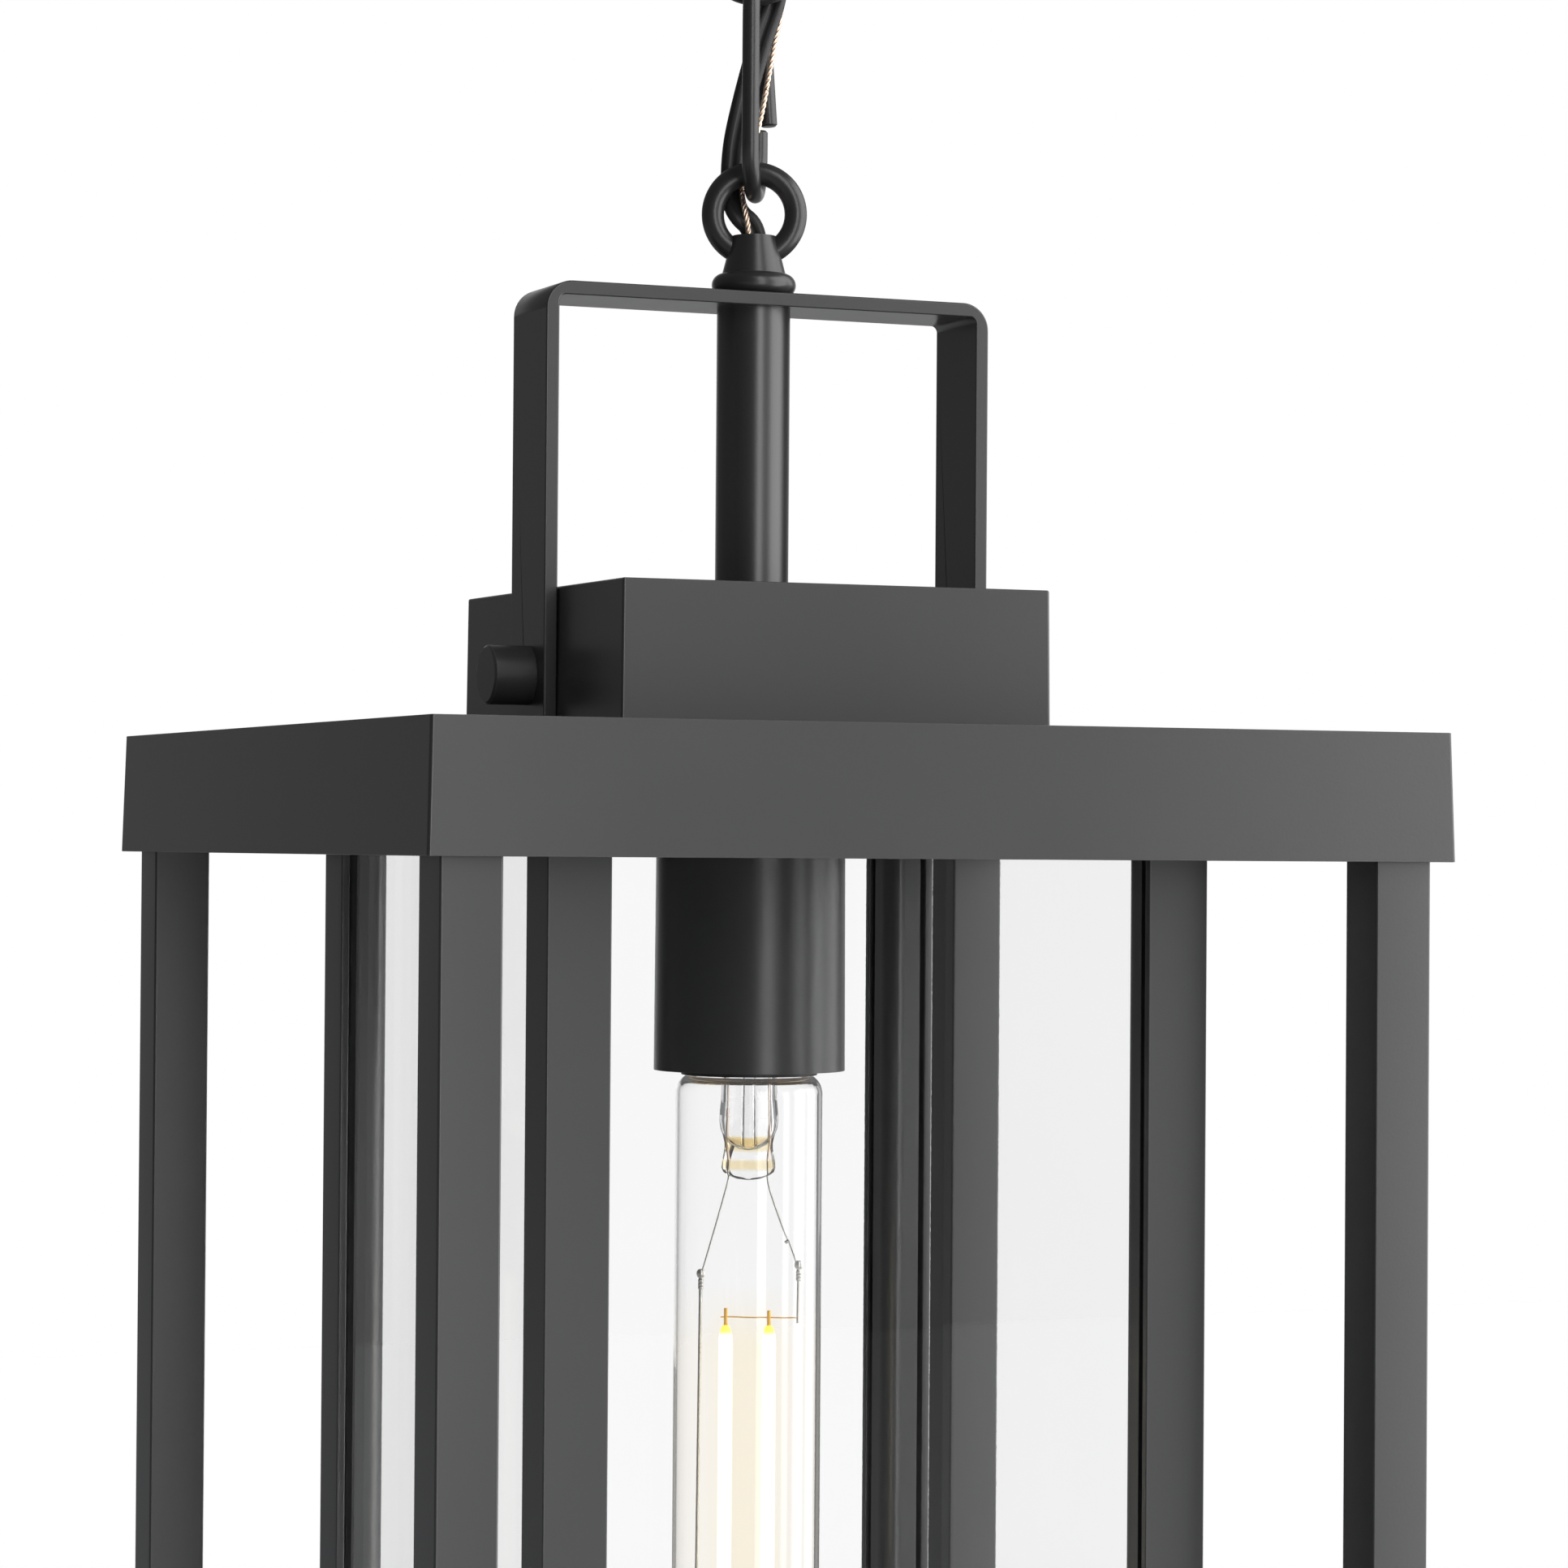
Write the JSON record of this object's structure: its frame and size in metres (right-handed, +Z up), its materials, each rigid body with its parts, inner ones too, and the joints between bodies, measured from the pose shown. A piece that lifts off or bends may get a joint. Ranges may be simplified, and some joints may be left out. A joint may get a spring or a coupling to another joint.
{
  "type": "hanging lantern",
  "caption": "Square hanging lantern: glazed inner frame in an open square cage under a flat box roof, with a bail, a stem, a short chain and a ceiling canopy.",
  "frame": {"origin": "middle of the crossbar's two slots, in the ceiling plane", "axes": "+Z up into the ceiling, -Y towards the lantern's front, +X to the right of the front"},
  "size_m": [0.222, 0.222, 0.6115],
  "materials": {
    "black_paint": "fine-textured satin black paint",
    "clear_glass": "clear flat glass",
    "zinc_steel": "zinc plated",
    "black_moulding": "matte black moulding",
    "brass": "plain pressed brass",
    "bulb_glass": "clear blown glass",
    "cap_metal": "thin pressed brass",
    "cap_enamel": "black glass enamel",
    "solder": "dull solder",
    "lead_wire": "bright drawn wire",
    "filament": "glowing coated rods",
    "cord_sheath": "black ribbed sheath",
    "copper": "bare twisted copper strands"
  },
  "bodies": {
    "canopy": {"ceiling_canopy": "black_paint", "crossbar": "zinc_steel", "canopy_nipple": "zinc_steel", "canopy_lock_nuts": "zinc_steel", "ground_screw": "zinc_steel", "canopy_loop": "black_paint", "canopy_wires": "cord_sheath", "supply_cord_upper": "cord_sheath", "earth_wire_upper": "copper"},
    "upper_link": {"upper_link": "black_paint", "supply_cord_middle": "cord_sheath", "earth_wire_middle": "copper"},
    "lower_link": {"lower_link": "black_paint", "supply_cord_lower": "cord_sheath", "earth_wire_lower": "copper"},
    "lantern": {"bail": "black_paint", "bail_studs": "zinc_steel", "cage_post_back_left": "black_paint", "cage_post_back_right": "black_paint", "cage_post_front_left": "black_paint", "cage_post_front_right": "black_paint", "cage_rails": "black_paint", "cap_nuts": "black_paint", "centre_contact": "brass", "corner_angle_back_left": "black_paint", "corner_angle_back_right": "black_paint", "corner_angle_front_left": "black_paint", "corner_angle_front_right": "black_paint", "frame_ties": "black_paint", "glass_beads": "black_paint", "glass_pane_back": "clear_glass", "glass_pane_front": "clear_glass", "glass_pane_left": "clear_glass", "glass_pane_right": "clear_glass", "glass_sill": "black_paint", "lantern_loop": "black_paint", "roof_tray": "black_paint", "roof_washer": "zinc_steel", "screw_shell": "brass", "sill_rails": "black_paint", "socket_body": "black_moulding", "socket_bracket": "zinc_steel", "socket_cup": "black_paint", "socket_screws": "zinc_steel", "stem_lock_nuts": "zinc_steel", "stem_nipple": "zinc_steel", "stem_tube": "black_paint", "stem_wires": "cord_sheath", "stud_nuts": "zinc_steel", "tie_screws": "zinc_steel", "top_box": "black_paint"},
    "bulb": {"bulb_envelope": "bulb_glass", "bulb_cap": "cap_metal", "cap_insulator": "cap_enamel", "cap_contact": "solder", "glass_stem": "bulb_glass", "lead_wires": "lead_wire", "cross_wires": "lead_wire", "filaments": "filament"}
  },
  "joints": [
    {"name": "upper_link_swing", "type": "hinge", "parent": "canopy", "child": "upper_link", "pos_m": [0, 0, -0.05105], "axis": [0.3891, 0.9212, 0], "range_deg": [-30, 30], "deforming": ["supply_cord_upper", "earth_wire_upper"]},
    {"name": "lower_link_swing", "type": "hinge", "parent": "upper_link", "child": "lower_link", "pos_m": [0, 0, -0.09367], "axis": [0.9212, -0.3891, 0], "range_deg": [-30, 30], "deforming": ["supply_cord_middle", "earth_wire_middle"]},
    {"name": "lantern_swing", "type": "hinge", "parent": "lower_link", "child": "lantern", "pos_m": [0, 0, -0.13687], "axis": [0.4679, 0.8838, 0], "range_deg": [-30, 30], "deforming": ["supply_cord_lower", "earth_wire_lower"]},
    {"name": "bulb_unscrew", "type": "slide", "parent": "lantern", "child": "bulb", "axis": [0, 0, -1], "range_m": [0, 0.024]}
  ]
}
